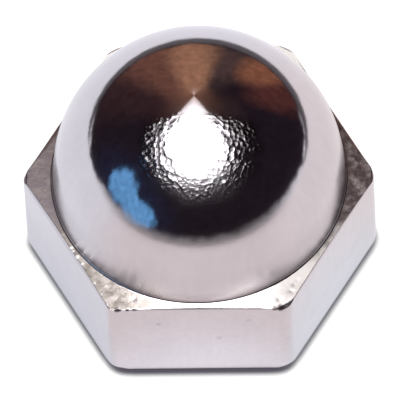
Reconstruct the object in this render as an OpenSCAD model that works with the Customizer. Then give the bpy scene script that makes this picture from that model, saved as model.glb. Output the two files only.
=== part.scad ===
// Low-crown cap nut (acorn nut): a hexagon nut closed by a domed crown.
// Millimetres. The origin is the centre of the bearing face, +Z points up through the
// crown, and two opposite corners of the hexagon lie on the X axis.

/* [Hexagon] */
// Width of the hexagon across its flats
across_flats = 14.29; // [14.1:0.01:19.05]
// Height of the flats, from the bearing face to the shoulder
hex_h = 5.76; // [3:0.01:9]
// Radius that rounds the hexagon's upright corners
corner_r = 0.5; // [0.2:0.05:1.5]
// Width of the break along the flats' top edges
top_break = 0.08; // [0.04:0.01:0.15]
// Width of the break along the flats' bottom edges
bottom_break = 0.3; // [0.05:0.01:0.4]
// How far the turned chamfer cuts back the corners at the shoulder
top_corner_cut = 0.12; // [0.06:0.01:0.6]
// How far the turned chamfer cuts back the corners at the bearing face
bottom_corner_cut = 0.3; // [0.1:0.01:0.6]
// Angle of both turned corner chamfers, measured from the bearing face
corner_cut_deg = 40; // [20:1:60]
// Slope of the shoulder, falling outward from the crown's foot
shoulder_deg = 5; // [1:1:15]

/* [Crown] */
// Diameter of the crown
crown_d = 13.54; // [12:0.01:13.8]
// Height of the crown's straight wall, from the shoulder to the start of the dome
wall_h = 0.44; // [0.3:0.01:4]
// Radius of the fillet at the crown's foot
foot_r = 0.06; // [0.03:0.01:0.25]

/* [Threaded hole] */
// Minor diameter of the thread, which is the wall of the drilled hole
thread_minor_d = 7.94; // [4:0.01:8.4]
// Thickness of the crown over the tip of the drilled hole
tip_wall = 1.6; // [0.8:0.1:6]
// Angle of the drill point that ends the hole
drill_point_deg = 118; // [90:1:150]
// Diameter of the countersink at the hole's mouth
mouth_d = 10; // [8.6:0.1:11]
// Angle of the countersink
mouth_deg = 120; // [60:1:140]

/* [Hidden] */
$fn = 96;

// Allowance that carries a cut, or a blank, past the face it opens through
cut_past = 1;
// Overlap that fuses a rounded surface with the flat one that it blends into
lap = 0.003;

// Hexagon
flat_r = across_flats / 2;
corner_reach = (flat_r - corner_r) / cos(30) + corner_r;
flat_width = 2 * (flat_r - corner_r) * tan(30);
blank_r = corner_reach + cut_past;
shoulder_fall = tan(shoulder_deg);

// Crown
crown_r = crown_d / 2;
dome_centre_z = shoulder_z(crown_r) + wall_h;
nut_h = dome_centre_z + crown_r;

// Hole
hole_r = thread_minor_d / 2;
mouth_r = mouth_d / 2;
mouth_slope = tan(mouth_deg / 2);
point_h = hole_r / tan(drill_point_deg / 2);
hole_depth = nut_h - tip_wall - point_h;

// Height of the shoulder at a distance r from the axis: hex_h at the middle of a flat
function shoulder_z(r) = hex_h + (flat_r - r) * shoulder_fall;

// ---- Hexagon collar --------------------------------------------------------------

// Outline of the bar: its corners are rounded, and the slabs below trim its flats flush
module bar_outline() {
    for (turn = [0 : 60 : 120]) {
        rotate(turn)
            square([flat_width, across_flats + cut_past], center = true);
    }
    for (turn = [0 : 60 : 300]) {
        rotate(turn)
            translate([corner_reach - corner_r, 0])
                circle(r = corner_r + lap);
    }
}

// Section across one pair of flats, with the breaks along their top and bottom edges.
// Above the flats the slope of the top break runs on, to end clear of the shoulder.
module slab_section() {
    roof = flat_r - top_break - cut_past;
    polygon([
        [-flat_r + bottom_break, 0],
        [flat_r - bottom_break, 0],
        [flat_r, bottom_break],
        [flat_r, hex_h - top_break],
        [roof, hex_h + cut_past],
        [-roof, hex_h + cut_past],
        [-flat_r, hex_h - top_break],
        [-flat_r, bottom_break]
    ]);
}

// One slab that lies between a pair of flats
module slab() {
    rotate([90, 0, 90])
        linear_extrude(2 * blank_r, center = true)
            slab_section();
}

// The hexagon bar, its flats cut by three slabs
module hex_bar() {
    intersection() {
        linear_extrude(hex_h + cut_past)
            bar_outline();
        slab();
        rotate(60)
            slab();
        rotate(120)
            slab();
    }
}

// Turned form of the collar: corner chamfers below and above, and the sloping shoulder
module collar_turning() {
    bottom_r = corner_reach - bottom_corner_cut;
    bottom_rise = (blank_r - bottom_r) * tan(corner_cut_deg);
    top_r = corner_reach - top_corner_cut;
    top_fall = (blank_r - top_r) * tan(corner_cut_deg);
    rotate_extrude()
        polygon([
            [0, 0],
            [bottom_r, 0],
            [blank_r, bottom_rise],
            [blank_r, shoulder_z(top_r) - top_fall],
            [top_r, shoulder_z(top_r)],
            [0, shoulder_z(0)]
        ]);
}

module hex_collar() {
    intersection() {
        hex_bar();
        collar_turning();
    }
}

// ---- Crown -----------------------------------------------------------------------

// Half section of the wall and the hemispherical dome above it
module dome_section() {
    square([crown_r, dome_centre_z]);
    intersection() {
        translate([0, dome_centre_z])
            circle(r = crown_r);
        square([blank_r, dome_centre_z + blank_r]);
    }
}

// Half section of the fillet that blends the crown's wall into the shoulder
module foot_section() {
    centre_r = crown_r + foot_r;
    centre_z = shoulder_z(centre_r) + foot_r - lap;
    difference() {
        translate([crown_r - foot_r, hex_h - foot_r])
            square([2 * foot_r, centre_z - hex_h + foot_r]);
        translate([centre_r, centre_z])
            circle(r = foot_r);
    }
}

module crown() {
    rotate_extrude() {
        dome_section();
        foot_section();
    }
}

// ---- Threaded hole ---------------------------------------------------------------

// Blind hole: countersunk mouth, wall at the thread's minor diameter, drill point
module blind_hole() {
    rotate_extrude()
        polygon([
            [0, -cut_past],
            [mouth_r + cut_past * mouth_slope, -cut_past],
            [hole_r, (mouth_r - hole_r) / mouth_slope],
            [hole_r, hole_depth],
            [0, hole_depth + point_h]
        ]);
}

// ---- Nut -------------------------------------------------------------------------

module cap_nut() {
    color([0.78, 0.76, 0.78])
        difference() {
            union() {
                hex_collar();
                crown();
            }
            blind_hole();
        }
}

cap_nut();
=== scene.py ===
"""Visual model of a low-crown cap nut: a nickel-plated hexagon closed by a domed crown.

The mesh is worked out in millimetres, in the same frame as the part, and scaled to metres when
it is made. Plus Y points away from the camera, and plus X to its right.
"""

import math
from types import SimpleNamespace

import bpy
import numpy as np
from mathutils import Matrix, Vector


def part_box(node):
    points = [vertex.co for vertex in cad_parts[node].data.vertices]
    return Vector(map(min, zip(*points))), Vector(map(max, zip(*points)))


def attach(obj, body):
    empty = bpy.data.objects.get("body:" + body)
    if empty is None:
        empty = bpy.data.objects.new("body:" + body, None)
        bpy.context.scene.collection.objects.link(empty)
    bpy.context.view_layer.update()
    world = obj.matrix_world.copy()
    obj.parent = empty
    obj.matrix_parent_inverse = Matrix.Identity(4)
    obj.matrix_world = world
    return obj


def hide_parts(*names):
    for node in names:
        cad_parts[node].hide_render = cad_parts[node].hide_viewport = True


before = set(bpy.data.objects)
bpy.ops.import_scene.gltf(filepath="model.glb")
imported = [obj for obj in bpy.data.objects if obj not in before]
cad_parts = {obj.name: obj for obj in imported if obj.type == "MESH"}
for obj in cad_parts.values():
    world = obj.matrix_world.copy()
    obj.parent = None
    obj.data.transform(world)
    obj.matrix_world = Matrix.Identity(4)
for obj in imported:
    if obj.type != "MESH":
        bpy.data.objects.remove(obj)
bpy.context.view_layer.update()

MM = 0.001

# ---- Sizes of the nut, mm ----------------------------------------------------------------

_, box_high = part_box("cap_nut")
FLAT_R = box_high.y / MM
NUT_H = box_high.z / MM

# Hexagon and shoulder
HEX_H = 5.76
BOTTOM_BREAK = 0.22
BOTTOM_SETBACK = 0.25
CORNER_SLOPE = math.tan(math.radians(40))
SHOULDER_TILT = math.radians(5)
SHOULDER_FALL = math.tan(SHOULDER_TILT)

# Crown: a ball, whose foot stands proud of it by FLARE and blends into it at FLARE_TOP
CROWN_R = 6.77
DOME_Z = NUT_H - CROWN_R
FLARE = 0.055
FLARE_TOP = 7.0
FOOT_TOP_R = CROWN_R + FLARE
FOOT_R = 0.12
TOE_R = FOOT_TOP_R + FOOT_R * (1 - math.sin(SHOULDER_TILT))

# Break along the top of each flat, by the direction that the flat faces: its width, its drop
# and how far its two edges are rounded
TOP_BREAKS = {
    30: (0.20, 0.07, 0.07),
    90: (0.08, 0.08, 0.07),
    150: (0.20, 0.07, 0.07),
    210: (0.08, 0.20, 0.025),
    270: (0.085, 0.095, 0.07),
    330: (0.05, 0.12, 0.025),
}
# Each upright corner, by its direction: its radius, and how far the turned chamfers cut it back
# above and below
CORNER_SHAPES = {
    0: (0.9, 0.12, 0.3),
    60: (0.8, 0.12, 0.3),
    120: (0.8, 0.12, 0.3),
    180: (0.51, 0.15, 0.3),
    240: (0.51, 0.03, 0.5),
    300: (0.8, 0.19, 0.4),
}
# Such a value holds up to the first of these angles from its direction and is gone at the second
HOLDS_TO_DEG, GONE_AT_DEG = 26, 34

# Widths over which the creases between two cuts are rounded
CREASE = 0.02
WIDE_CREASE = 0.05

# Chips that widen the break along the top edges: x, y, half width and size
CHIPS = [
    (-3.72, -7.14, 0.15, 0.08),
    (-3.28, -7.14, 0.09, 0.06),
    (-2.95, -7.14, 0.12, 0.05),
    (2.80, -7.14, 0.50, 0.03),
    (3.80, -7.14, 0.26, 0.08),
]
# Nicks in the shoulder: x, y, radius along and across, turn in degrees, and depth
NICKS = [
    (-4.15, -6.05, 0.45, 0.12, -49, 0.022),
    (-3.75, -6.60, 0.25, 0.14, -30, 0.020),
    (-3.00, -6.60, 0.16, 0.10, 20, 0.015),
    (4.60, -5.65, 0.12, 0.09, 30, 0.006),
    (4.45, -5.85, 0.14, 0.09, 60, 0.007),
    (4.30, -6.20, 0.12, 0.09, 0, 0.007),
    (3.75, -6.65, 0.14, 0.10, 40, 0.008),
]

# Thread: 3/8-16, right-hand, in a hole that ends in a drill point. The crest and each flank
# take up their shares of the pitch, and the thread runs out between two heights.
MINOR_R = 3.97
MAJOR_R = 4.7625
PITCH = 25.4 / 16
CREST_SHARE, FLANK_SHARE = 4 / 16, 5 / 16
RUN_OUT = (7.3, 8.3)
HOLE_DEPTH = 9.018
DRILL_POINT_H = MINOR_R / math.tan(math.radians(59))
MOUTH_R = 5.0
MOUTH_SLOPE = math.tan(math.radians(60))
LIP_W = 0.02

# Grid: columns round the nut, and rows up its skin
CORNER_COLUMNS = 60
FLAT_COLUMNS = 30
CORNER_SPAN_DEG = 24.0
BEARING_SHARES = (0.015, 0.5, 0.97)
EDGE_STEPS = 4
SIDE_STEPS = 10
SHOULDER_STEPS = 26
FOOT_STEPS = 12
CROWN_WALL_STEPS = 6
DOME_STEPS = 60
THREAD_STEPS = 16
# The rounding of an edge takes up no more than this share of the face beside it
MOST_OF_FACE = 0.45


# ---- Outline and heights, for arrays of column angles --------------------------------------


def soft_min(a, b, width):
    """The smaller of a and b, with the crease between them rounded over width."""
    h = np.clip(0.5 + 0.5 * (b - a) / width, 0, 1)
    return b + (a - b) * h - width * h * (1 - h)


def soft_max(a, b, width):
    return -soft_min(-a, -b, width)


def flat_cos(phi):
    """Cosine of the angle between a column and the middle of the flat that it crosses."""
    return np.cos(phi % (math.pi / 3) - math.pi / 6)


def outline(phi, corner_r):
    """How far the rounded hexagon reaches at each column, and how far its nearest corner does."""
    on_flat = FLAT_R / flat_cos(phi)
    centre = (FLAT_R - corner_r) / math.cos(math.pi / 6)
    off = (phi + math.pi / 6) % (math.pi / 3) - math.pi / 6
    under = np.maximum(corner_r**2 - (centre * np.sin(off)) ** 2, 0)
    on_corner = centre * np.cos(off) + np.sqrt(under)
    half_flat = (FLAT_R - corner_r) * math.tan(math.pi / 6)
    corner_side = np.abs(off) < math.pi / 6 - np.arctan2(half_flat, FLAT_R)
    return np.where(corner_side, on_corner, on_flat), centre + corner_r


def shoulder_z(r):
    return HEX_H + (FLAT_R - r) * SHOULDER_FALL


def around(phi, by_direction, pick):
    """A value given for six directions, blended over a few degrees halfway between them."""
    total, weights = np.zeros_like(phi), np.zeros_like(phi)
    for direction, value in by_direction.items():
        off = (phi - math.radians(direction) + math.pi) % (2 * math.pi) - math.pi
        off = np.degrees(np.abs(off))
        t = np.clip((GONE_AT_DEG - off) / (GONE_AT_DEG - HOLDS_TO_DEG), 0, 1)
        weight = t * t * (3 - 2 * t)
        total += weight * value[pick]
        weights += weight
    return total / weights


def chips(x, y):
    """How much wider the chips make the break at x, y."""
    total = np.zeros_like(x)
    for cx, cy, half_width, size in CHIPS:
        total += size * np.exp(-((x - cx) ** 2 + (y - cy) ** 2) / half_width**2)
    return total


def dent(x, y):
    """How far the nicks knock the shoulder down at x, y."""
    total = np.zeros_like(x)
    for cx, cy, along, across, turn, depth in NICKS:
        c, s = math.cos(math.radians(turn)), math.sin(math.radians(turn))
        u = ((x - cx) * c + (y - cy) * s) / along
        v = (-(x - cx) * s + (y - cy) * c) / across
        total += depth * np.exp(-(u * u + v * v))
    return total


def flare(z):
    """How far the crown stands proud of its ball at z, and how fast that grows downward."""
    reach = FLARE_TOP - HEX_H
    share = max(0.0, (FLARE_TOP - z) / reach)
    return FLARE * share**2, 2 * FLARE * share / reach


def thread_radius(phi, z):
    """Radius of the threaded wall: flat crests and roots, with flanks about 60 degrees apart."""
    turn = (z / PITCH - phi / (2 * math.pi)) % 1.0
    rise = (turn - CREST_SHARE) / FLANK_SHARE
    fall = (1 - turn) / FLANK_SHARE
    share = np.clip(np.minimum(rise, fall), 0, 1)
    fade = np.clip((RUN_OUT[1] - z) / (RUN_OUT[1] - RUN_OUT[0]), 0, 1)
    cut = MINOR_R + (MAJOR_R - MINOR_R) * share * fade
    cone = MOUTH_R - z * MOUTH_SLOPE
    return soft_max(cut, cone, WIDE_CREASE)


# ---- Columns and rows of the outer skin ----------------------------------------------------


def column_angles():
    """Angles of the columns, closer together round the six corners."""
    half = CORNER_SPAN_DEG / 2
    near = np.linspace(-half, half, CORNER_COLUMNS, endpoint=False)
    far = np.linspace(half, 60 - half, FLAT_COLUMNS, endpoint=False)
    sector = np.concatenate([near, far])
    return np.radians(np.concatenate([sector + 60 * k for k in range(6)]))


def toward(a, b, distance):
    """The point at distance from a on the way to b; each is an (r, z) pair of arrays."""
    dr, dz = b[0] - a[0], b[1] - a[1]
    length = np.maximum(np.hypot(dr, dz), 1e-9)
    share = np.minimum(distance / length, MOST_OF_FACE)
    return a[0] + dr * share, a[1] + dz * share


def between(a, b, shares):
    """The points at the given shares of the way from a to b."""
    return [(a[0] + (b[0] - a[0]) * s, a[1] + (b[1] - a[1]) * s) for s in shares]


def round_edge(before, edge, after, setback):
    """Rows that round the edge between two faces."""
    start, end = toward(edge, before, setback), toward(edge, after, setback)
    rows = []
    for t in np.linspace(0, 1, EDGE_STEPS + 1):
        a, b, c = (1 - t) ** 2, 2 * t * (1 - t), t * t
        r, z = (a * p + b * q + c * s for p, q, s in zip(start, edge, end))
        rows.append((r, z))
    return rows


def hexagon_rows(phi):
    """Rows from the hole's mouth, under the nut and up its sides, to the toe of the crown's fillet."""
    cos_flat = flat_cos(phi)
    reach, corner_reach = outline(phi, around(phi, CORNER_SHAPES, 0))
    one = np.ones_like(phi)

    # Bottom: the flats' break and the turned corner chamfer
    mouth = (MOUTH_R * one, 0 * one)
    chamfer_r = corner_reach - around(phi, CORNER_SHAPES, 2)
    under = (soft_min((FLAT_R - BOTTOM_BREAK) / cos_flat, chamfer_r, WIDE_CREASE), 0 * one)
    break_z = reach * cos_flat - FLAT_R + BOTTOM_BREAK
    chamfer_z = (reach - chamfer_r) * CORNER_SLOPE
    side_foot = (reach, soft_max(break_z, chamfer_z, CREASE))

    # Top: the same two cuts, and the shoulder that falls outward
    chipped = chips(reach * np.cos(phi), reach * np.sin(phi))
    break_w = around(phi, TOP_BREAKS, 0) + chipped
    break_h = around(phi, TOP_BREAKS, 1) + chipped
    chamfer_r = corner_reach - around(phi, CORNER_SHAPES, 1)
    break_z = HEX_H - break_h + (FLAT_R - reach * cos_flat) * break_h / break_w
    chamfer_z = shoulder_z(chamfer_r) - (reach - chamfer_r) * CORNER_SLOPE
    side_top = (reach, soft_min(break_z, chamfer_z, CREASE))
    steep = break_h / break_w
    flat_edge = (FLAT_R * (steep - SHOULDER_FALL) - break_h) / (steep * cos_flat - SHOULDER_FALL)
    rim_r = soft_min(flat_edge, chamfer_r, CREASE)
    rim = (rim_r, shoulder_z(rim_r))
    toe = (TOE_R * one, shoulder_z(TOE_R) * one)

    top_setback = around(phi, TOP_BREAKS, 2)
    under_edge = round_edge(mouth, under, side_foot, BOTTOM_SETBACK)
    foot_edge = round_edge(under, side_foot, side_top, BOTTOM_SETBACK)
    top_edge = round_edge(side_foot, side_top, rim, top_setback)
    rim_edge = round_edge(side_top, rim, toe, top_setback)
    bearing = between(mouth, under_edge[0], BEARING_SHARES)
    side = between(foot_edge[-1], top_edge[0], np.linspace(0, 1, SIDE_STEPS + 1)[1:-1])
    shoulder = between(rim_edge[-1], toe, np.linspace(0, 1, SHOULDER_STEPS + 1)[1:])
    return [mouth, *bearing, *under_edge, *foot_edge, *side, *top_edge, *rim_edge, *shoulder]


def crown_rows():
    """(r, z) of the rows up the fillet, and of those from there to the last ring under the pole."""
    centre_r = FOOT_TOP_R + FOOT_R
    centre_z = shoulder_z(TOE_R) + FOOT_R * math.cos(SHOULDER_TILT)
    sweep = np.linspace(1.5 * math.pi - SHOULDER_TILT, math.pi, FOOT_STEPS + 1)[1:]
    foot = [(centre_r + FOOT_R * math.cos(a), centre_z + FOOT_R * math.sin(a)) for a in sweep]
    low = [(CROWN_R, z) for z in np.linspace(foot[-1][1], DOME_Z, CROWN_WALL_STEPS + 1)[1:-1]]
    rise = np.linspace(0, math.pi / 2, DOME_STEPS + 1)[:-1]
    ball = [(CROWN_R * math.cos(a), DOME_Z + CROWN_R * math.sin(a)) for a in rise]
    dome = [(r + flare(z)[0], z) for r, z in low + ball]
    return foot, dome


# ---- Mesh ----------------------------------------------------------------------------------


class Skin:
    """Vertices and faces of one closed mesh, gathered ring by ring."""

    def __init__(self):
        self.points = []
        self.faces = []

    def add(self, points):
        first = len(self.points)
        self.points.extend(points)
        return np.arange(first, first + len(points))

    def ring(self, phi, r, z):
        r, z = np.broadcast_to(r, phi.shape), np.broadcast_to(z, phi.shape)
        return self.add(np.stack([r * np.cos(phi), r * np.sin(phi), z], 1).tolist())

    def face(self, corners):
        """A face on the given corners, less those that repeat; one that has collapsed is left out."""
        kept = [int(c) for i, c in enumerate(corners) if c != corners[i - 1]]
        if len(set(kept)) > 2:
            self.faces.append(kept)

    def band(self, low, high):
        """Quads between two rings of the same count; low is the outer or lower one."""
        n = len(low)
        for i in range(n):
            j = (i + 1) % n
            self.face([low[i], low[j], high[j], high[i]])

    def halve(self, fine, coarse, turned=False):
        """Triangles from a ring to one with half as many points; turned, they face the other way."""
        n = len(fine)
        for i in range(0, n, 2):
            a, b, c = fine[i], fine[i + 1], fine[(i + 2) % n]
            d, e = coarse[i // 2], coarse[(i // 2 + 1) % (n // 2)]
            for corners in ([a, b, d], [b, e, d], [b, c, e]):
                self.face(corners[::-1] if turned else corners)


def add_hole(skin, phi, mouth):
    """The threaded wall, on rows that follow the helix, and the drill point."""
    n = len(phi)
    low = skin.ring(phi, MOUTH_R, 0)
    high = skin.ring(phi, MINOR_R, HOLE_DEPTH)
    rows = math.ceil(HOLE_DEPTH / PITCH * THREAD_STEPS)
    made = {}

    def vertex(j, i):
        """The point of row j at column i; rows that leave the hole end on its low or high ring."""
        if i == n:
            j, i = j + THREAD_STEPS, 0
        z = PITCH * (j / THREAD_STEPS + phi[i] / (2 * math.pi))
        if z <= 1e-6:
            return low[i]
        if z >= HOLE_DEPTH - 1e-6:
            return high[i]
        if (j, i) not in made:
            r = float(thread_radius(phi[i], np.array(z)))
            made[j, i] = skin.add([[r * math.cos(phi[i]), r * math.sin(phi[i]), z]])[0]
        return made[j, i]

    for j in range(-THREAD_STEPS, rows):
        for i in range(n):
            skin.face([vertex(j, i), vertex(j + 1, i), vertex(j + 1, i + 1), vertex(j, i + 1)])

    # The fine ring of the mouth is joined to the thread's coarser one over a lip that lies in
    # the plane of the bearing face. The skin doubles back on itself across the lip's width.
    lip = skin.ring(phi, MOUTH_R + LIP_W, 0)
    tip = skin.add([[0, 0, HOLE_DEPTH + DRILL_POINT_H]])[0]
    for i in range(n):
        skin.face([high[(i + 1) % n], high[i], tip])
    skin.band(low, lip)
    skin.halve(mouth, lip, turned=True)


def build_nut():
    """The nut's skin, and the numbers of its points on the crown above the fillet."""
    skin = Skin()
    phi = column_angles()
    coarse = phi[::2]

    rings = []
    for r, z in hexagon_rows(phi):
        sunk = np.where(z > HEX_H / 2, dent(r * np.cos(phi), r * np.sin(phi)), 0)
        rings.append(skin.ring(phi, r, z - sunk))
    for low, high in zip(rings, rings[1:]):
        skin.band(low, high)

    foot, dome = crown_rows()
    low = rings[-1]
    for r, z in foot:
        high = skin.ring(phi, r, z)
        skin.band(low, high)
        low = high
    dome_rings = [skin.ring(coarse, r, z) for r, z in dome]
    skin.halve(low, dome_rings[0])
    for low, high in zip(dome_rings, dome_rings[1:]):
        skin.band(low, high)
    pole = skin.add([[0, 0, NUT_H]])[0]
    last = dome_rings[-1]
    for i in range(len(last)):
        skin.face([last[i], last[(i + 1) % len(last)], pole])

    add_hole(skin, coarse, rings[0])
    return skin, np.concatenate(dome_rings + [[pole]])


def vertex_normals(mesh, crown):
    """Normals weighted by face area, so that flat faces stay flat up to their edges.

    The crown's points get exact ones, from the ball and its flare.
    """
    points = np.empty(len(mesh.vertices) * 3, np.float32)
    mesh.vertices.foreach_get("co", points)
    points = points.reshape(-1, 3).astype(float)
    normals = np.zeros_like(points)
    for polygon in mesh.polygons:
        weighted = np.array(polygon.normal) * polygon.area
        normals[list(polygon.vertices)] += weighted
    for i in crown:
        x, y, z = points[i] / MM
        across = math.hypot(x, y)
        rise = max(z - DOME_Z, 0)
        level = math.sqrt(max(CROWN_R**2 - rise**2, 0)) or 1e-9
        steep = rise / level + flare(z)[1]
        normals[i] = (0, 0, 1) if across < 1e-6 else (x / across, y / across, steep)
    return normals / np.maximum(np.linalg.norm(normals, axis=1)[:, None], 1e-30)


def make_nut():
    skin, crown = build_nut()
    mesh = bpy.data.meshes.new("cap_nut_plated")
    mesh.from_pydata((np.array(skin.points) * MM).tolist(), [], skin.faces)
    mesh.validate()
    mesh.update()
    mesh.shade_smooth()
    mesh.normals_split_custom_set_from_vertices(vertex_normals(mesh, crown).tolist())
    nut = bpy.data.objects.new("cap_nut_plated", mesh)
    bpy.context.scene.collection.objects.link(nut)
    return nut


# ---- Node helpers --------------------------------------------------------------------------


class Graph:
    """Short calls that add nodes to a node tree and return the socket that carries the result."""

    def __init__(self, tree):
        self.tree = tree
        tree.nodes.clear()

    def node(self, kind, **settings):
        made = self.tree.nodes.new(kind)
        for name, value in settings.items():
            setattr(made, name, value)
        return made

    def put(self, socket, value):
        if isinstance(value, bpy.types.NodeSocket):
            self.tree.links.new(value, socket)
        elif isinstance(value, (tuple, list)) and len(socket.default_value) == 4:
            socket.default_value = (*value[:3], 1.0)
        else:
            socket.default_value = value

    def math(self, operation, *values):
        made = self.node("ShaderNodeMath", operation=operation)
        for socket, value in zip(made.inputs, values):
            self.put(socket, value)
        return made.outputs[0]

    def times(self, *values):
        total = values[0]
        for value in values[1:]:
            total = self.math("MULTIPLY", total, value)
        return total

    def plus(self, *values):
        total = values[0]
        for value in values[1:]:
            total = self.math("ADD", total, value)
        return total

    def linear(self, value, slope, start):
        """value times slope, plus start."""
        return self.math("MULTIPLY_ADD", value, slope, start)

    def rest(self, value):
        """What is left of 1."""
        return self.math("SUBTRACT", 1.0, value)

    def ramp(self, value, start, end, low=0.0, high=1.0):
        """low up to start, high from end on, and a smooth step between them."""
        made = self.node("ShaderNodeMapRange", interpolation_type="SMOOTHSTEP")
        self.put(made.inputs["Value"], value)
        made.inputs["From Min"].default_value = start
        made.inputs["From Max"].default_value = end
        made.inputs["To Min"].default_value = low
        made.inputs["To Max"].default_value = high
        return made.outputs["Result"]

    def mix(self, factor, a, b):
        """The colour a where factor is 0, and b where it is 1."""
        made = self.node("ShaderNodeMix", data_type="RGBA")
        self.put(made.inputs[0], factor)
        self.put(made.inputs[6], a)
        self.put(made.inputs[7], b)
        return made.outputs[2]

    def along(self, vector, axis):
        """How much of a unit vector points along axis."""
        made = self.node("ShaderNodeVectorMath", operation="DOT_PRODUCT")
        self.put(made.inputs[0], vector)
        made.inputs[1].default_value = Vector(axis).normalized()
        return made.outputs["Value"]

    def distance(self, vector, point):
        made = self.node("ShaderNodeVectorMath", operation="DISTANCE")
        self.put(made.inputs[0], vector)
        made.inputs[1].default_value = point
        return made.outputs["Value"]

    def scale(self, vector, factors):
        made = self.node("ShaderNodeVectorMath", operation="MULTIPLY")
        self.put(made.inputs[0], vector)
        made.inputs[1].default_value = factors
        return made.outputs[0]

    def split(self, vector):
        made = self.node("ShaderNodeSeparateXYZ")
        self.put(made.inputs[0], vector)
        return made.outputs

    def from_axis(self, x, y):
        """Distance from the Z axis."""
        return self.math("SQRT", self.plus(self.times(x, x), self.times(y, y)))

    def noise(self, vector, scale, detail=2.0, roughness=0.5):
        """Noise from about -1 to 1, with a mean of 0."""
        made = self.node("ShaderNodeTexNoise")
        self.put(made.inputs["Vector"], vector)
        made.inputs["Scale"].default_value = scale
        made.inputs["Detail"].default_value = detail
        made.inputs["Roughness"].default_value = roughness
        return self.linear(made.outputs["Fac"], 2.0, -1.0)

    def cells(self, vector, scale):
        """Distance to the nearest of many scattered points, in cells."""
        made = self.node("ShaderNodeTexVoronoi", feature="F1")
        self.put(made.inputs["Vector"], vector)
        made.inputs["Scale"].default_value = scale
        return made.outputs["Distance"]


# ---- Nickel plate --------------------------------------------------------------------------

NICKEL = (0.66, 0.625, 0.665)
# The shoulder: its plain colour, the painted shade on its left and right sides, and where the plate is
# worn thin
CREAM = {"left": (0.56, 0.505, 0.48), "right": (0.80, 0.755, 0.735)}
SIDE_SHADE = {"left": (0.31, 0.275, 0.30), "right": (0.105, 0.075, 0.082)}
DULL = (0.26, 0.235, 0.195)
# Painted shade round the crown's foot, the pitted top of the crown, stains, and the pale white of
# painted highlights
FOOT_SHADE = (0.10, 0.073, 0.07)
PITTED = (0.12, 0.11, 0.115)
STAIN = (0.07, 0.055, 0.055)
PAINTED_GLINT_WHITE = (0.95, 0.93, 0.90)

# Direction that the scuffed part of the crown faces, the directions of its two coarsest spots,
# and the one in which it fades from coarse to smooth
SCUFF_MIDDLE = (0.05, -0.36, 0.932)
SCUFF_SPOTS = [(-0.355, -0.128, 0.926), (0.379, -0.223, 0.898)]
SCUFF_SLANT = (0.01, 0.859, 0.511)
# Small dark stains on the top edges and the flats: their middle, radius and strength
STAINS = [
    ((-3.75, -7.13, 5.68), 0.17, 0.80),
    ((-3.30, -7.13, 5.68), 0.10, 0.55),
    ((-2.98, -7.13, 5.70), 0.12, 0.45),
    ((3.85, -7.10, 5.70), 0.22, 0.9),
    ((3.55, -7.13, 5.70), 0.15, 0.8),
    ((-1.90, -7.15, 4.40), 0.12, 0.16),
    ((0.90, -7.15, 3.10), 0.14, 0.14),
    ((2.30, -7.15, 4.70), 0.10, 0.16),
    ((-5.60, -4.90, 4.10), 0.12, 0.16),
]
# Painted highlights: pale spots along the left flat's top edge where burrs catch the light: their
# middle and radius
PAINTED_GLINTS = [
    ((-5.89, -3.80, 5.76), 0.11),
    ((-5.80, -3.98, 5.76), 0.07),
    ((-5.61, -4.29, 5.76), 0.13),
    ((-5.37, -4.66, 5.76), 0.09),
    ((-4.80, -5.69, 5.76), 0.08),
    ((-4.47, -6.28, 5.76), 0.08),
    ((-4.18, -6.86, 5.72), 0.07),
]


def plate_places(g):
    """Coordinates of the shaded point in mm, and the way that its surface faces."""
    coordinates = g.node("ShaderNodeTexCoord")
    point = g.scale(coordinates.outputs["Object"], (1 / MM, 1 / MM, 1 / MM))
    normal = coordinates.outputs["Normal"]
    x, y, z = g.split(point)
    radius = g.from_axis(x, y)
    return SimpleNamespace(
        point=point,
        x=x,
        z=z,
        radius=radius,
        # 1 straight behind the axis, and -1 straight in front of it
        back=g.math("DIVIDE", y, radius),
        normal=normal,
        # 1 where the surface looks up, and 0 where it is upright
        facing=g.split(normal)[2],
    )


def plate_masks(g, at):
    """Masks that are 1 on one surface of the nut and 0 elsewhere."""
    return SimpleNamespace(
        crown=g.times(
            g.ramp(at.radius, FOOT_TOP_R + 0.04, FOOT_TOP_R + 0.01),
            g.ramp(at.z, HEX_H, HEX_H + 0.05),
        ),
        shoulder=g.times(
            g.ramp(at.radius, CROWN_R + 0.02, CROWN_R + 0.08),
            g.ramp(at.facing, 0.9, 0.97),
        ),
        flat=g.times(
            g.ramp(at.facing, 0.25, 0.1),
            g.ramp(at.facing, -0.25, -0.1),
            g.ramp(at.radius, CROWN_R, FLAT_R - 0.1),
        ),
        # The breaks and chamfers round the shoulder
        edge=g.times(
            g.ramp(at.facing, 0.15, 0.3),
            g.ramp(at.facing, 0.98, 0.9),
            g.ramp(at.radius, CROWN_R + 0.22, CROWN_R + 0.27),
        ),
        # The inside corner between the shoulder and the crown
        corner=g.times(
            g.ramp(at.radius, CROWN_R + 0.22, CROWN_R + 0.05),
            g.ramp(at.z, HEX_H + 0.26, HEX_H + 0.10),
            g.ramp(at.z, HEX_H - 0.1, HEX_H - 0.05),
            g.ramp(at.radius, CROWN_R - 0.5, CROWN_R - 0.3),
        ),
    )


def plate_patterns(g, at):
    """The noise that the plate's height, roughness and colour share."""
    return SimpleNamespace(
        grain=g.noise(at.point, 8.0, 2.0, 0.6),
        dimples=g.cells(at.point, 5.0),
        haze=g.noise(at.point, 20.0, 1.0),
        pits=g.noise(at.point, 3.5, 3.0, 0.7),
        ripple=g.noise(at.point, 1.3, 1.0),
        streaks=g.noise(g.scale(at.point, (3.0, 3.0, 0.35)), 1.0, 2.0),
        clouds=g.noise(at.point, 0.5, 3.0),
        patches=g.noise(g.scale(at.point, (1.0, 1.0, 0.2)), 1.9, 4.0, 0.65),
    )


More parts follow.
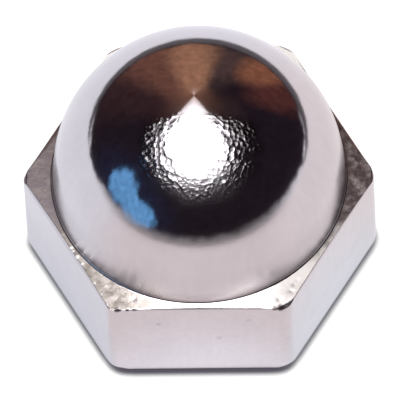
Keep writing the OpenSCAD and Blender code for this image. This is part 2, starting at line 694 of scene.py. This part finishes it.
def crown_polish(g, at, on):
    """The crown's polish is coarse and pocked round the pole, and fine down its sides."""
    uneven = g.noise(at.point, 0.8, 2.0)
    scuffed = g.linear(uneven, 0.03, g.along(at.normal, SCUFF_MIDDLE))
    slant = g.along(at.normal, SCUFF_SLANT)
    coarse = g.times(on.crown, g.ramp(scuffed, 0.88, 0.95))
    pocked = g.times(
        g.ramp(scuffed, 0.955, 0.985, 0.9, 0.30),
        g.ramp(slant, -0.12, 0.14, 0.62, 1.0),
    )
    for spot in SCUFF_SPOTS:
        near = g.ramp(g.along(at.normal, spot), 0.965, 0.990, 0.0, 1.15)
        pocked = g.math("MAXIMUM", pocked, near)
    patchy = g.ramp(g.noise(at.point, 1.6, 1.0), -0.30, 0.20, 0.65, 1.2)
    return SimpleNamespace(
        pocked=g.times(pocked, patchy, coarse, g.ramp(slant, 0.43, 0.31)),
        roughness=g.times(coarse, g.ramp(slant, 0.12, 0.40, 0.06, 0.155)),
        fine_side=g.times(on.crown, g.ramp(at.facing, 0.34, 0.15)),
    )


def shoulder_wear_and_painted_light(g, at, on, pattern):
    """The shoulder is dull where its plate has worn, more on the left than on the right. It also
    carries painted shade on its left and right sides, a painted shadow beside the crown, and painted
    highlights behind the crown and on burrs.
    """
    left_side = g.times(g.ramp(at.x, 0.0, -1.0), g.ramp(at.back, -0.95, -0.76))
    side = g.math("MAXIMUM", left_side, g.ramp(at.back, -0.88, -0.66))
    worn = g.math("MAXIMUM", g.ramp(at.x, -1.5, -3.6), g.ramp(at.back, -0.72, -0.55))
    behind = g.ramp(at.back, 0.45, 0.70)
    not_behind = g.rest(behind)
    beside = g.ramp(at.back, -0.75, -0.5)
    # The non-metal share: a little where the plate is worn, and nearly all behind the crown, where the
    # shoulder is painted pale white in place of its bright reflection
    film_and_painted_white = g.times(on.shoulder, g.plus(g.times(worn, 0.08), g.times(behind, 0.92)))
    # Painted highlights on the burrs
    for middle, reach in PAINTED_GLINTS:
        painted_glint = g.ramp(g.distance(at.point, middle), reach * 1.2, reach * 0.6)
        film_and_painted_white = g.math("MAXIMUM", film_and_painted_white, painted_glint)
    return SimpleNamespace(
        worn=worn,
        beside=beside,
        side=g.times(on.shoulder, side),
        blotch=g.times(
            on.shoulder, g.ramp(pattern.patches, -0.26, 0.22), g.linear(worn, 0.90, 0.06)
        ),
        # Painted shade on the shoulder's left and right sides
        shaded_sides=g.times(on.shoulder, g.ramp(at.back, -0.50, -0.28), not_behind),
        # Painted shadow on the shoulder beside the crown, stronger on the right
        shadow=g.times(
            on.shoulder,
            beside,
            g.ramp(at.radius, CROWN_R + 0.45, CROWN_R + 0.15),
            g.ramp(at.x, -6.0, 5.0, 0.0, 0.40),
            not_behind,
        ),
        film_and_painted_white=film_and_painted_white,
    )


def plate_height(g, on, pattern, polish, wear_and_light):
    """Height of the plate's fine detail, in mm."""
    return g.plus(
        g.times(pattern.grain, g.linear(polish.pocked, 0.0045, 0.0006)),
        g.times(pattern.dimples, pattern.dimples, polish.pocked, 0.026),
        g.times(pattern.haze, polish.pocked, 0.0045),
        g.times(pattern.pits, on.shoulder, g.linear(wear_and_light.worn, 0.005, 0.002)),
        g.times(pattern.ripple, 0.002),
        g.times(pattern.streaks, on.flat, 0.004),
    )


def plate_roughness(g, on, pattern, polish, wear_and_light):
    return g.plus(
        0.05,
        polish.roughness,
        g.times(polish.fine_side, 0.16),
        g.times(on.edge, 0.15),
        g.times(on.shoulder, g.linear(pattern.pits, 0.10, 0.34)),
        g.times(wear_and_light.side, 0.08),
        g.times(on.flat, g.linear(pattern.streaks, 0.03, 0.06)),
    )


def plate_colour(g, at, on, pattern, polish, wear_and_light):
    tone = g.plus(
        g.times(pattern.streaks, 0.3),
        g.times(pattern.clouds, 0.6),
        g.times(pattern.pits, on.flat, 0.6),
        0.5,
    )
    colour = g.mix(tone, tuple(c * 0.94 for c in NICKEL), tuple(c * 1.06 for c in NICKEL))

    # The shoulder
    cream = g.mix(g.ramp(at.x, -3.0, 2.5), CREAM["left"], CREAM["right"])
    side_shade = g.mix(g.ramp(at.x, -1.0, 1.0), SIDE_SHADE["left"], SIDE_SHADE["right"])
    mottled = g.plus(g.times(pattern.patches, 0.7), g.times(pattern.pits, 0.35), 0.85)
    colour = g.mix(on.shoulder, colour, cream)
    colour = g.mix(g.times(wear_and_light.blotch, 0.8), colour, DULL)
    # Painted shade on the shoulder's left and right sides, mottled at random
    colour = g.mix(g.times(wear_and_light.shaded_sides, mottled), colour, side_shade)
    # Painted shadow on the shoulder beside the crown
    colour = g.mix(wear_and_light.shadow, colour, FOOT_SHADE)

    # Painted shade at the crown's foot and in the corner round it, and the crown's pitted top
    # Painted shade on the crown just above its foot, towards the sides
    crown_foot_shade = g.times(
        g.ramp(at.radius, FOOT_TOP_R + 0.10, FOOT_TOP_R + 0.03),
        g.ramp(at.z, HEX_H + 0.60, HEX_H + 0.08),
        g.ramp(at.z, HEX_H - 0.1, HEX_H - 0.05),
        g.ramp(g.math("ABSOLUTE", at.x), 0.6, 2.6),
        g.linear(wear_and_light.beside, -0.8, 1.0),
    )
    colour = g.mix(g.times(crown_foot_shade, 0.20), colour, FOOT_SHADE)
    # Painted shade on the crown's lowest part, at the front
    foot = g.times(
        on.crown, g.ramp(at.z, HEX_H + 0.80, HEX_H + 0.25), g.ramp(at.back, -0.80, -0.92)
    )
    colour = g.mix(g.times(foot, 0.22), colour, FOOT_SHADE)
    colour = g.mix(g.times(polish.pocked, 0.75), colour, PITTED)
    # Painted shade in the inside corner between the shoulder and the crown, stronger at the front
    corner = g.times(on.corner, g.ramp(at.back, -0.70, -0.90, 0.15, 0.45))
    colour = g.mix(corner, colour, FOOT_SHADE)

    for middle, reach, strength in STAINS:
        away = g.plus(g.distance(at.point, middle), g.times(pattern.pits, 0.06))
        spot = g.ramp(away, reach * 1.3, reach * 0.6)
        colour = g.mix(g.times(spot, strength), colour, STAIN)
    # Painted highlights: pale white where the film share is high, on the burrs and on the shoulder
    # behind the crown
    return g.mix(g.ramp(wear_and_light.film_and_painted_white, 0.75, 0.95), colour, PAINTED_GLINT_WHITE)


def nickel_plate():
    """Bright nickel over a turned crown and shoulder and rolled flats."""
    material = bpy.data.materials.new("bright_nickel_plate")
    material.use_nodes = True
    g = Graph(material.node_tree)
    out = g.node("ShaderNodeOutputMaterial")
    shader = g.node("ShaderNodeBsdfPrincipled")
    g.put(out.inputs["Surface"], shader.outputs["BSDF"])

    at = plate_places(g)
    on = plate_masks(g, at)
    pattern = plate_patterns(g, at)
    polish = crown_polish(g, at, on)
    wear_and_light = shoulder_wear_and_painted_light(g, at, on, pattern)

    bump = g.node("ShaderNodeBump")
    bump.inputs["Strength"].default_value = 1.0
    bump.inputs["Distance"].default_value = MM
    g.put(bump.inputs["Height"], plate_height(g, on, pattern, polish, wear_and_light))
    g.put(shader.inputs["Normal"], bump.outputs[0])

    # The tool marks run round the nut, and spread a reflection up and down it
    g.put(shader.inputs["Tangent"], g.node("ShaderNodeTangent", axis="Z").outputs[0])
    shader.inputs["Anisotropic Rotation"].default_value = 0.25
    g.put(shader.inputs["Anisotropic"], g.rest(wear_and_light.side))

    g.put(shader.inputs["Roughness"], plate_roughness(g, on, pattern, polish, wear_and_light))
    g.put(shader.inputs["Base Color"], plate_colour(g, at, on, pattern, polish, wear_and_light))
    g.put(shader.inputs["Metallic"], g.rest(wear_and_light.film_and_painted_white))
    return material


# ---- World ---------------------------------------------------------------------------------

WHITE = (1.0, 1.0, 1.0)
# A dark room with dim patches. Each patch is its radiance, the azimuth (0 away from the camera,
# positive to its right) and height of its middle, its half width and half height in degrees,
# and how soft and how ragged its edge is.
ROOM_DARK = (0.018, 0.012, 0.017)
ROOM_PATCHES = [
    ((0.045, 0.022, 0.024), -38, 28, 24, 38, 1.2, 2.0),
    ((0.085, 0.052, 0.048), 14, 22, 14, 24, 1.2, 3.0),
    ((0.18, 0.080, 0.058), -19, 26, 17, 50, 1.1, 2.0),
    ((0.40, 0.200, 0.118), -3, 34, 12, 46, 1.0, 2.0),
    ((0.10, 0.034, 0.030), 46, 16, 12, 22, 1.2, 3.0),
    ((0.29, 0.115, 0.064), 31, 9, 9, 20, 1.1, 3.0),
    ((0.020, 0.021, 0.045), -122, 14, 36, 24, 0.9, 4.0),
    ((0.16, 0.42, 0.77), -134, 11, 13, 11, 0.60, 7.0),
    ((0.16, 0.42, 0.77), -124, 15, 8, 9, 0.60, 7.0),
    ((0.16, 0.42, 0.77), -113, 18, 12, 12, 0.60, 7.0),
]
# The table: bright beside the nut, grey towards the camera and dark far behind
TABLE_BRIGHT = (1.0, 1.0, 1.04)
TABLE_GREY = (0.35, 0.33, 0.33)
TABLE_DARK = (0.03, 0.02, 0.025)


def room_colour(g, direction, azimuth, height, sway):
    """The room above the table: its patches, each a little uneven."""
    wobble = g.noise(direction, 9.0, 2.0)
    colour = ROOM_DARK
    for patch, middle, rise, half_width, half_height, soft, ragged in ROOM_PATCHES:
        across = g.math("SUBTRACT", g.linear(wobble, ragged, azimuth), middle)
        across = g.math("DIVIDE", across, half_width)
        up = g.math("SUBTRACT", g.linear(sway, ragged, height), rise)
        up = g.math("DIVIDE", up, half_height)
        away = g.from_axis(across, up)
        colour = g.mix(g.ramp(away, 1 + soft / 2, 1 - soft / 2), colour, patch)
    shaded = g.linear(g.noise(direction, 16.0, 3.0, 0.6), 1.1, 0.5)
    return g.mix(shaded, g.scale(colour, (0.7, 0.7, 0.7)), g.scale(colour, (1.3, 1.3, 1.3)))


def table_colour(g, y):
    colour = g.mix(g.ramp(y, 0.2, -0.9), TABLE_BRIGHT, TABLE_GREY)
    return g.mix(g.ramp(y, 0.35, 0.65), colour, TABLE_DARK)


def make_world():
    """White to the camera. To everything else a table in a dark room, which the plate mirrors."""
    world = bpy.data.worlds.new("room")
    bpy.context.scene.world = world
    world.use_nodes = True
    g = Graph(world.node_tree)
    out = g.node("ShaderNodeOutputWorld")
    direction = g.node("ShaderNodeTexCoord").outputs["Generated"]
    x, y, z = g.split(direction)
    azimuth = g.math("DEGREES", g.math("ARCTAN2", x, y))
    height = g.math("DEGREES", g.math("ARCSINE", z))
    sway = g.noise(direction, 7.0, 2.0)

    # The table's edge rises and blurs towards the camera
    horizon = g.ramp(y, 0.1, -0.2, 0.0, 3.0)
    blur = g.ramp(y, 0.1, -0.7, 1.2, 5.0)
    above = g.math("SUBTRACT", g.linear(sway, 2.5, height), horizon)
    on_table = g.ramp(g.math("DIVIDE", above, blur), 1.0, -1.0)
    room = room_colour(g, direction, azimuth, height, sway)
    mirrored = g.mix(on_table, room, table_colour(g, y))

    seen = g.node("ShaderNodeLightPath").outputs["Is Camera Ray"]
    background = g.node("ShaderNodeBackground")
    g.put(background.inputs["Color"], g.mix(seen, mirrored, WHITE))
    g.put(out.inputs["Surface"], background.outputs[0])


# ---- Floor ---------------------------------------------------------------------------------

# Metres; the floor lies a hair under the bearing face
FLOOR_HALF = 0.6
FLOOR_DROP = 0.00002

# Its tints in mirror rays, close to the nut and away from it, by side
FLOOR_NEAR = {"front": (1.10, 1.075, 1.12), "left": (0.81, 0.84, 0.91), "right": (0.96, 1.00, 1.05)}
FLOOR_FAR = {"front": (0.88, 0.79, 0.775), "left": (0.94, 0.95, 1.00), "right": (0.96, 0.89, 0.88)}
FLOOR_BEHIND = (0.98, 0.98, 1.04)
# What the camera sees of it: open, and in the crevice under the nut's edge
FLOOR_OPEN = (0.85, 0.85, 0.85)
CONTACT = {"front": (0.10, 0.09, 0.115), "side": (0.16, 0.16, 0.18)}
# What it gives back of the lamp's light, in view and in mirror rays
FLOOR_LIT = {"view": (0.35, 0.35, 0.35), "mirror": (0.12, 0.12, 0.12)}
# How far the crevice's shade reaches, metres
CREVICE_REACH = 0.0005


def floor_tint(g, x, y, distance, near_front, front):
    """The floor's colour in mirror rays."""
    right = g.ramp(g.math("DIVIDE", x, distance), 0.1, 0.75)
    left = g.ramp(g.math("DIVIDE", x, distance), -0.1, -0.75)

    def by_side(tints, in_front):
        colour = g.mix(left, FLOOR_BEHIND, tints["left"])
        colour = g.mix(right, colour, tints["right"])
        return g.mix(in_front, colour, tints["front"])

    near, far = by_side(FLOOR_NEAR, near_front), by_side(FLOOR_FAR, front)
    tint = g.mix(g.ramp(distance, 7.3, 11), near, far)
    # The paper ends behind the nut, and the table beyond it is dark
    beyond = g.plus(y, g.times(x, 0.1))
    return g.mix(g.ramp(beyond, 56, 80), tint, TABLE_DARK)


def floor_material():
    """White to the camera but for the nut's shadow, faintly tinted in the plate's reflections."""
    material = bpy.data.materials.new("floor")
    material.use_nodes = True
    g = Graph(material.node_tree)
    out = g.node("ShaderNodeOutputMaterial")

    place = g.scale(g.node("ShaderNodeTexCoord").outputs["Object"], (1 / MM, 1 / MM, 1 / MM))
    x, y, _ = g.split(place)
    distance = g.from_axis(x, y)
    back = g.math("DIVIDE", y, distance)
    near_front, front = g.ramp(back, -0.82, -0.90), g.ramp(back, -0.2, -0.8)
    tint = floor_tint(g, x, y, distance, near_front, front)
    fade = g.rest(g.times(front, g.ramp(distance, 30, 260), 0.6))

    crevice = g.node("ShaderNodeAmbientOcclusion", samples=16)
    crevice.inputs["Distance"].default_value = CREVICE_REACH
    open_sky = g.plus(crevice.outputs["AO"], g.times(g.rest(near_front), 0.11))
    shade = g.ramp(open_sky, 0.48, 1.0)
    mirrored_shade = g.ramp(open_sky, 0.36, 0.88)
    contact = g.mix(near_front, CONTACT["side"], CONTACT["front"])

    path = g.node("ShaderNodeLightPath")
    to_camera = path.outputs["Is Camera Ray"]
    mirrored = g.math("MAXIMUM", path.outputs["Is Glossy Ray"], path.outputs["Is Transmission Ray"])
    diffuse = g.node("ShaderNodeBsdfDiffuse")
    lit = g.mix(mirrored, FLOOR_LIT["view"], FLOOR_LIT["mirror"])
    g.put(diffuse.inputs["Color"], g.mix(shade, (0.0, 0.0, 0.0), lit))
    glow = g.node("ShaderNodeEmission")
    g.put(glow.inputs["Color"], g.mix(mirrored, g.mix(shade, contact, FLOOR_OPEN), tint))
    g.put(glow.inputs["Strength"], g.plus(to_camera, g.times(mirrored, mirrored_shade, fade, 0.88)))
    add = g.node("ShaderNodeAddShader")
    g.put(add.inputs[0], diffuse.outputs[0])
    g.put(add.inputs[1], glow.outputs[0])
    g.put(out.inputs["Surface"], add.outputs[0])
    return material


def make_floor():
    """A plain pale floor."""
    mesh = bpy.data.meshes.new("floor")
    signs = [(-1, -1), (1, -1), (1, 1), (-1, 1)]
    corners = [(sx * FLOOR_HALF, sy * FLOOR_HALF, -FLOOR_DROP) for sx, sy in signs]
    mesh.from_pydata(corners, [], [(0, 1, 2, 3)])
    floor = bpy.data.objects.new("floor", mesh)
    bpy.context.scene.collection.objects.link(floor)
    floor.data.materials.append(floor_material())
    return floor


# ---- Lamp ----------------------------------------------------------------------------------

# Metres from the origin, its lean towards the camera and its turn to the right, and the half
# angle that it covers from there
LAMP_DISTANCE = 0.6
LAMP_LEAN = math.radians(11.4)
LAMP_TURN = math.radians(-2)
LAMP_HALF_ANGLE = math.radians(24)
LAMP_RADIANCE = 6.0


def make_lamp():
    """A round soft box overhead, a little to the camera's side."""
    lamp = bpy.data.lights.new("soft_box", "AREA")
    lamp.shape = "DISK"
    radius = LAMP_DISTANCE * math.tan(LAMP_HALF_ANGLE)
    lamp.size = 2 * radius
    lamp.energy = LAMP_RADIANCE * math.pi * math.pi * radius**2
    obj = bpy.data.objects.new("soft_box", lamp)
    bpy.context.scene.collection.objects.link(obj)
    toward_lamp = Vector((math.sin(LAMP_TURN), -math.sin(LAMP_LEAN), math.cos(LAMP_LEAN)))
    obj.location = toward_lamp.normalized() * LAMP_DISTANCE
    obj.rotation_euler = obj.location.to_track_quat("Z", "Y").to_euler()
    obj.visible_camera = False


# ---- Camera --------------------------------------------------------------------------------

# Its direction from the origin and its roll. How far it stands, and the point right of and above
# the origin that it is aimed at, are in widths across flats.
YAW, ELEVATION, ROLL = (math.radians(a) for a in (3.15, 59.2, -3.25))
AWAY = 55
AIM = (-0.0089, 0.1303)
SENSOR_MM = 36
LENS_MM = 1513


def make_camera():
    width = 2 * FLAT_R * MM
    view = Vector(
        (
            math.sin(YAW) * math.cos(ELEVATION),
            -math.cos(YAW) * math.cos(ELEVATION),
            math.sin(ELEVATION),
        )
    )
    level = Vector((math.cos(YAW), math.sin(YAW), 0))
    up = view.cross(level)
    right = math.cos(ROLL) * level + math.sin(ROLL) * up
    top = -math.sin(ROLL) * level + math.cos(ROLL) * up
    # It stands on the line of sight through the origin and turns a little to centre the picture
    place = AWAY * width * view
    aim = (AIM[0] * right + AIM[1] * top) * width
    back = (place - aim).normalized()
    right = top.cross(back).normalized()
    data = bpy.data.cameras.new("camera")
    data.sensor_width = SENSOR_MM
    data.lens = LENS_MM
    data.clip_start, data.clip_end = 0.1, 10
    camera = bpy.data.objects.new("camera", data)
    bpy.context.scene.collection.objects.link(camera)
    turn = Matrix((right, back.cross(right), back)).transposed().to_4x4()
    camera.matrix_world = Matrix.Translation(place) @ turn
    bpy.context.scene.camera = camera


# ---- Scene ---------------------------------------------------------------------------------

make_camera()
make_world()
make_lamp()
make_floor()

nut = make_nut()
nut.data.materials.append(nickel_plate())
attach(nut, "root")
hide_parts("cap_nut")

bpy.context.scene.view_settings.view_transform = "Standard"
